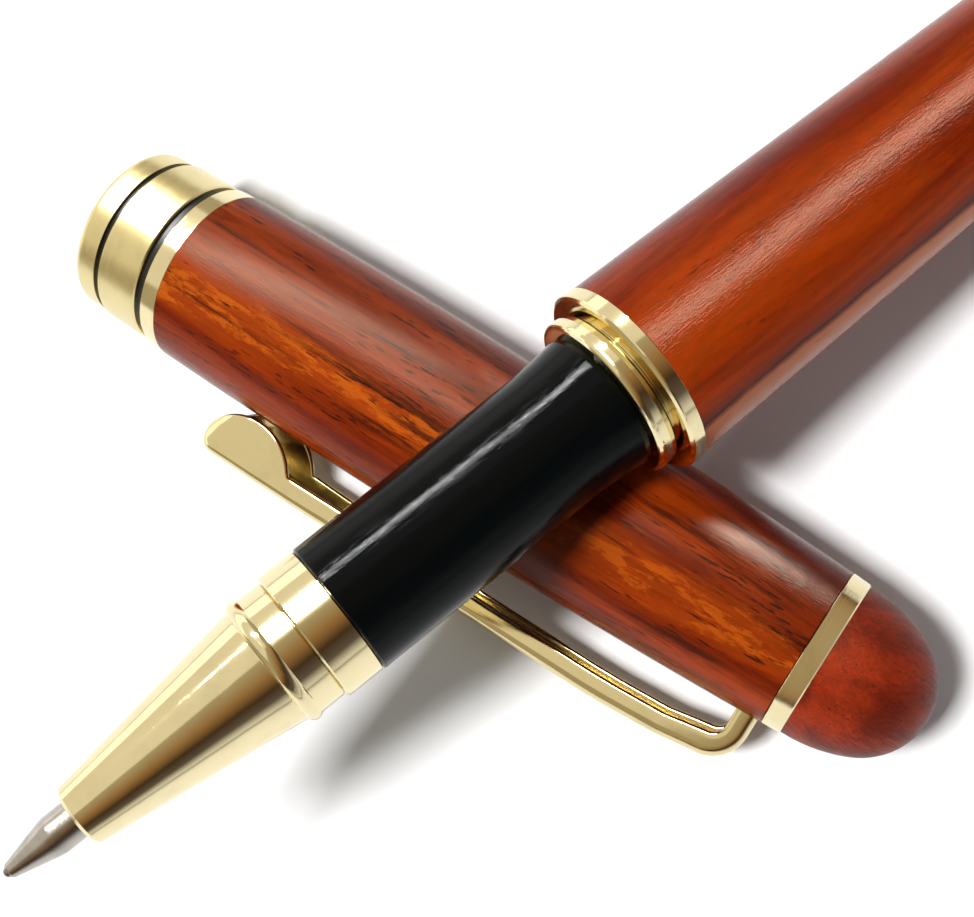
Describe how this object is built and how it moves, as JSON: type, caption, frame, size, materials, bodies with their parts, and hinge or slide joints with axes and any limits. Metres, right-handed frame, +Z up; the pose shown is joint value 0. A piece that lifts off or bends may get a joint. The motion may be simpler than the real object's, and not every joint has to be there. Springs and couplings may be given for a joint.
{
  "type": "rollerball pen",
  "caption": "Uncapped rollerball pen lying across its clipped cap: turned wood sleeves, gilt rings and nose, black grip, screw-in sections and spring-backed refill.",
  "frame": {"origin": "centre of the bounding box's footprint, on the surface the pen and cap lie on", "axes": "+Z up; +X along the longest extent, from the writing tip towards the barrel's tail; the cap's axis lies along Y with its open mouth towards +Y"},
  "size_m": [0.1133, 0.0698, 0.0277],
  "materials": {
    "gold": "mirror polish, pale champagne gold plate",
    "satin_gold": "fine turned satin, pale champagne gold plate",
    "brass": "plain machined",
    "steel": "fine turned lines",
    "black_gloss": "high gloss lacquer",
    "black_matte": "moulded",
    "rubber": "soft ring",
    "refill_plastic": "moulded",
    "ink": "ink-soaked fibre",
    "barrel_wood": "rosewood, satin lacquer, red-orange with faint streaks",
    "cap_wood": "rosewood, satin lacquer, amber and dark red streaks with short black pores",
    "dome_wood": "rosewood, satin, deep red"
  },
  "bodies": {
    "cap": {"cap_lip": "satin_gold", "cap_groove_front": "black_gloss", "cap_band": "satin_gold", "cap_groove_rear": "black_gloss", "cap_wood_ring": "gold", "cap_wood": "cap_wood", "cap_tube": "brass", "cap_seal_cup": "black_matte", "cap_bushing": "brass", "clip_washer": "brass"},
    "clip": {"clip": "gold"},
    "crown_collar": {"crown_ring": "gold"},
    "crown": {"crown_stud": "brass", "crown_dome": "dome_wood"},
    "section": {"front_collar": "gold", "section_tube": "brass", "grip_sleeve": "black_gloss", "rear_coupler": "gold"},
    "barrel_washer": {"section_seal": "rubber"},
    "barrel": {"barrel_ring": "gold", "barrel_bushing": "brass", "barrel_tube": "brass", "barrel_wood": "barrel_wood", "refill_spring": "steel"},
    "tail_collar": {"tail_ring": "gold"},
    "tail": {"tail_stud": "brass", "tail_dome": "dome_wood"},
    "nose_washer": {"nose_seal": "rubber"},
    "nose": {"nose_cone": "gold"},
    "refill": {"refill_tip": "steel", "refill_tube": "refill_plastic", "refill_ink": "ink", "refill_plug": "refill_plastic"},
    "ball": {"refill_ball": "steel"}
  },
  "joints": [
    {"name": "pen_lift", "type": "slide", "parent": "cap", "child": "section", "axis": [0, 0, 1], "range_m": [0, 0.03]},
    {"name": "clip_flex", "type": "hinge", "parent": "cap", "child": "clip", "pos_m": [-0.02366, -0.02489, 0.0056], "axis": [-0.2924, 0, 0.9563], "range_deg": [0, 5], "stiffness_Nm_per_rad": 0.1},
    {"name": "crown_draw", "type": "slide", "parent": "cap", "child": "crown_collar", "axis": [0, -1, 0], "range_m": [0, 0.004]},
    {"name": "crown_turn", "type": "hinge", "parent": "crown_collar", "child": "crown", "pos_m": [-0.01869, -0.03009, 0.00712], "axis": [0, -1, 0], "range_deg": [0, 1440]},
    {"name": "barrel_draw", "type": "slide", "parent": "section", "child": "barrel_washer", "axis": [0.9463, -0.2624, -0.1888], "range_m": [0, 0.006]},
    {"name": "barrel_turn", "type": "hinge", "parent": "barrel_washer", "child": "barrel", "pos_m": [0.0191, -0.01613, 0.01158], "axis": [0.9463, -0.2624, -0.1888], "range_deg": [0, 720]},
    {"name": "tail_draw", "type": "slide", "parent": "barrel", "child": "tail_collar", "axis": [0.9463, -0.2624, -0.1888], "range_m": [0, 0.004]},
    {"name": "tail_turn", "type": "hinge", "parent": "tail_collar", "child": "tail", "pos_m": [0.05222, -0.02532, 0.00498], "axis": [0.9463, -0.2624, -0.1888], "range_deg": [0, 1440]},
    {"name": "nose_draw", "type": "slide", "parent": "section", "child": "nose_washer", "axis": [-0.9463, 0.2624, 0.1888], "range_m": [0, 0.003]},
    {"name": "nose_turn", "type": "hinge", "parent": "nose_washer", "child": "nose", "pos_m": [-0.04525, 0.00171, 0.02442], "axis": [-0.9463, 0.2624, 0.1888], "range_deg": [0, 1080]},
    {"name": "refill_push", "type": "slide", "parent": "section", "child": "refill", "axis": [0.9463, -0.2624, -0.1888], "range_m": [0, 0.0008], "stiffness_N_per_m": 300, "springref_m": -0.002, "deforming": ["refill_spring"]},
    {"name": "ball_roll", "type": "hinge", "parent": "refill", "child": "ball", "pos_m": [-0.05627, 0.00477, 0.02661], "axis": [0.2672, 0.9636, 0], "continuous": true}
  ],
  "couplings": [
    {"joint": "crown_turn", "follows": "crown_draw", "rad_per_m": 6283.2},
    {"joint": "barrel_turn", "follows": "barrel_draw", "rad_per_m": 2094.4},
    {"joint": "tail_turn", "follows": "tail_draw", "rad_per_m": 6283.2},
    {"joint": "nose_turn", "follows": "nose_draw", "rad_per_m": 6283.2}
  ]
}
